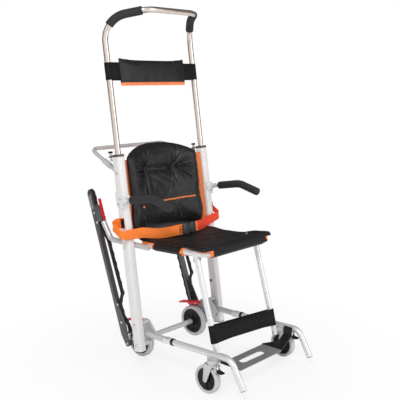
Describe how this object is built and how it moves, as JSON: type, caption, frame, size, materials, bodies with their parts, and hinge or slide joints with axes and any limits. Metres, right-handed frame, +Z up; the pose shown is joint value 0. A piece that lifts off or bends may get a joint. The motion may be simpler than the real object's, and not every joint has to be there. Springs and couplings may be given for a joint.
{
  "type": "evacuation chair",
  "caption": "Folding evacuation chair with padded back and seat, foam armrests, tall push handle, stair tracks and small casters.",
  "frame": {"origin": "on the floor under the middle of the bounding box", "axes": "+Z up, the sitter faces -Y, +X is to the sitter's left"},
  "size_m": [0.5302, 0.7846, 1.2965],
  "materials": {
    "white_aluminium": "satin white coated aluminium",
    "satin_steel": "satin drawn tube",
    "grey_tube": "light grey coated steel",
    "black_foam": "matte foam rubber",
    "black_nylon": "coated nylon cloth",
    "orange_webbing": "woven webbing",
    "black_plastic": "moulded nylon",
    "grey_tyre": "non-marking grey rubber",
    "grey_sheet": "grey coated sheet",
    "silver_zinc": "zinc plated pressing",
    "red_plastic": "moulded red plastic"
  },
  "bodies": {
    "frame": {"left_post": "white_aluminium", "right_post": "white_aluminium", "left_post_collar": "black_plastic", "right_post_collar": "black_plastic", "left_axle_plate": "grey_tube", "right_axle_plate": "grey_tube", "left_seat_rail": "grey_tube", "right_seat_rail": "grey_tube", "left_base_stub": "grey_tube", "right_base_stub": "grey_tube", "left_arm_bracket": "grey_tube", "right_arm_bracket": "grey_tube", "left_lap_belt": "orange_webbing", "right_lap_belt": "orange_webbing", "rear_axle": "grey_tube", "back_sling": "orange_webbing", "back_cushion": "black_nylon", "belt_buckle": "black_plastic"},
    "handle": {"handle_tube": "satin_steel", "left_grip": "black_foam", "right_grip": "black_foam", "head_strap": "black_nylon", "head_pad": "black_nylon"},
    "bail": {"rear_bail": "grey_tube"},
    "seat": {"seat_frame": "white_aluminium", "seat_cushion": "black_nylon"},
    "legs": {"left_leg": "white_aluminium", "right_leg": "white_aluminium", "calf_strap": "black_nylon"},
    "base": {"left_base_tube": "white_aluminium", "right_base_tube": "white_aluminium", "footrest": "grey_sheet", "left_caster_mount": "black_plastic", "right_caster_mount": "black_plastic"},
    "left_plunger_body": {"left_plunger": "black_plastic"},
    "left_arm": {"left_arm_tube": "grey_tube", "left_arm_pad": "black_foam"},
    "left_caster": {"left_caster_fork": "silver_zinc"},
    "left_caster_wheel": {"left_caster_hub": "black_plastic", "left_caster_tyre": "grey_tyre"},
    "left_caster_pedal": {"left_caster_brake": "black_plastic"},
    "left_rear_wheel": {"left_rear_hub": "black_plastic", "left_rear_tyre": "grey_tyre"},
    "left_track": {"left_track_rail": "black_plastic", "left_track_belt": "black_foam"},
    "left_latch": {"left_latch_lever": "red_plastic"},
    "left_pedal": {"left_brake_pedal": "red_plastic"},
    "right_plunger_body": {"right_plunger": "black_plastic"},
    "right_arm": {"right_arm_tube": "grey_tube", "right_arm_pad": "black_foam"},
    "right_caster": {"right_caster_fork": "silver_zinc"},
    "right_caster_wheel": {"right_caster_hub": "black_plastic", "right_caster_tyre": "grey_tyre"},
    "right_caster_pedal": {"right_caster_brake": "black_plastic"},
    "right_rear_wheel": {"right_rear_hub": "black_plastic", "right_rear_tyre": "grey_tyre"},
    "right_track": {"right_track_rail": "black_plastic", "right_track_belt": "black_foam"},
    "right_latch": {"right_latch_lever": "red_plastic"},
    "right_pedal": {"right_brake_pedal": "red_plastic"}
  },
  "joints": [
    {"name": "handle_slide", "type": "slide", "parent": "frame", "child": "handle", "axis": [0, 0.1418, 0.9899], "range_m": [-0.2, 0]},
    {"name": "bail_fold", "type": "hinge", "parent": "frame", "child": "bail", "pos_m": [0, 0.21174, 0.704], "axis": [1, 0, 0], "range_deg": [0, 50]},
    {"name": "seat_fold", "type": "hinge", "parent": "frame", "child": "seat", "pos_m": [0, 0.06874, 0.447], "axis": [-1, 0, 0], "range_deg": [0, 84], "deforming": ["left_lap_belt", "right_lap_belt", "belt_buckle"]},
    {"name": "leg_fold", "type": "hinge", "parent": "seat", "child": "legs", "pos_m": [0, -0.14926, 0.434], "axis": [-1, 0, 0], "range_deg": [-84, 0]},
    {"name": "base_fold", "type": "hinge", "parent": "frame", "child": "base", "pos_m": [0, -0.02726, 0.122], "axis": [-1, 0, 0], "range_deg": [0, 84]},
    {"name": "left_plunger_pull", "type": "slide", "parent": "frame", "child": "left_plunger_body", "axis": [0, 0.1418, 0.9899], "range_m": [0, 0.008], "stiffness_N_per_m": 300},
    {"name": "left_arm_fold", "type": "hinge", "parent": "frame", "child": "left_arm", "pos_m": [0.237, 0.12273, 0.61715], "axis": [-1, 0, 0], "range_deg": [0, 80]},
    {"name": "left_caster_swivel_turn", "type": "hinge", "parent": "base", "child": "left_caster", "pos_m": [0.2142, -0.26426, 0.107], "axis": [0, 0, 1], "continuous": true},
    {"name": "left_caster_spin", "type": "hinge", "parent": "left_caster", "child": "left_caster_wheel", "pos_m": [0.2142, -0.24626, 0.05], "axis": [1, 0, 0], "continuous": true},
    {"name": "left_caster_brake_press", "type": "hinge", "parent": "left_caster", "child": "left_caster_pedal", "pos_m": [0.2142, -0.29026, 0.0875], "axis": [1, 0, 0], "range_deg": [0, 12]},
    {"name": "left_wheel_spin", "type": "hinge", "parent": "frame", "child": "left_rear_wheel", "pos_m": [0.147, 0.15574, 0.0625], "axis": [1, 0, 0], "continuous": true},
    {"name": "left_track_fold", "type": "hinge", "parent": "frame", "child": "left_track", "pos_m": [0.2037, 0.17174, 0.058], "axis": [-1, 0, 0], "range_deg": [0, 45]},
    {"name": "left_latch_release", "type": "hinge", "parent": "left_track", "child": "left_latch", "pos_m": [0.2037, 0.30336, 0.52589], "axis": [1, 0, 0], "range_deg": [0, 10], "stiffness_Nm_per_rad": 0.5},
    {"name": "left_brake_press", "type": "hinge", "parent": "frame", "child": "left_pedal", "pos_m": [0.147, 0.13474, 0.143], "axis": [-1, 0, 0], "range_deg": [0, 5]},
    {"name": "right_plunger_pull", "type": "slide", "parent": "frame", "child": "right_plunger_body", "axis": [0, 0.1418, 0.9899], "range_m": [0, 0.008], "stiffness_N_per_m": 300},
    {"name": "right_arm_fold", "type": "hinge", "parent": "frame", "child": "right_arm", "pos_m": [-0.237, 0.12273, 0.61715], "axis": [-1, 0, 0], "range_deg": [0, 80]},
    {"name": "right_caster_swivel_turn", "type": "hinge", "parent": "base", "child": "right_caster", "pos_m": [-0.2142, -0.26426, 0.107], "axis": [0, 0, 1], "continuous": true},
    {"name": "right_caster_spin", "type": "hinge", "parent": "right_caster", "child": "right_caster_wheel", "pos_m": [-0.2142, -0.24626, 0.05], "axis": [1, 0, 0], "continuous": true},
    {"name": "right_caster_brake_press", "type": "hinge", "parent": "right_caster", "child": "right_caster_pedal", "pos_m": [-0.2142, -0.29026, 0.0875], "axis": [1, 0, 0], "range_deg": [0, 12]},
    {"name": "right_wheel_spin", "type": "hinge", "parent": "frame", "child": "right_rear_wheel", "pos_m": [-0.147, 0.15574, 0.0625], "axis": [1, 0, 0], "continuous": true},
    {"name": "right_track_fold", "type": "hinge", "parent": "frame", "child": "right_track", "pos_m": [-0.2037, 0.17174, 0.058], "axis": [-1, 0, 0], "range_deg": [0, 45]},
    {"name": "right_latch_release", "type": "hinge", "parent": "right_track", "child": "right_latch", "pos_m": [-0.2037, 0.30336, 0.52589], "axis": [1, 0, 0], "range_deg": [0, 10], "stiffness_Nm_per_rad": 0.5},
    {"name": "right_brake_press", "type": "hinge", "parent": "frame", "child": "right_pedal", "pos_m": [-0.147, 0.13474, 0.143], "axis": [-1, 0, 0], "range_deg": [0, 5]}
  ],
  "couplings": [
    {"joint": "base_fold", "follows": "seat_fold", "ratio": 1},
    {"joint": "leg_fold", "follows": "seat_fold", "ratio": -1}
  ]
}
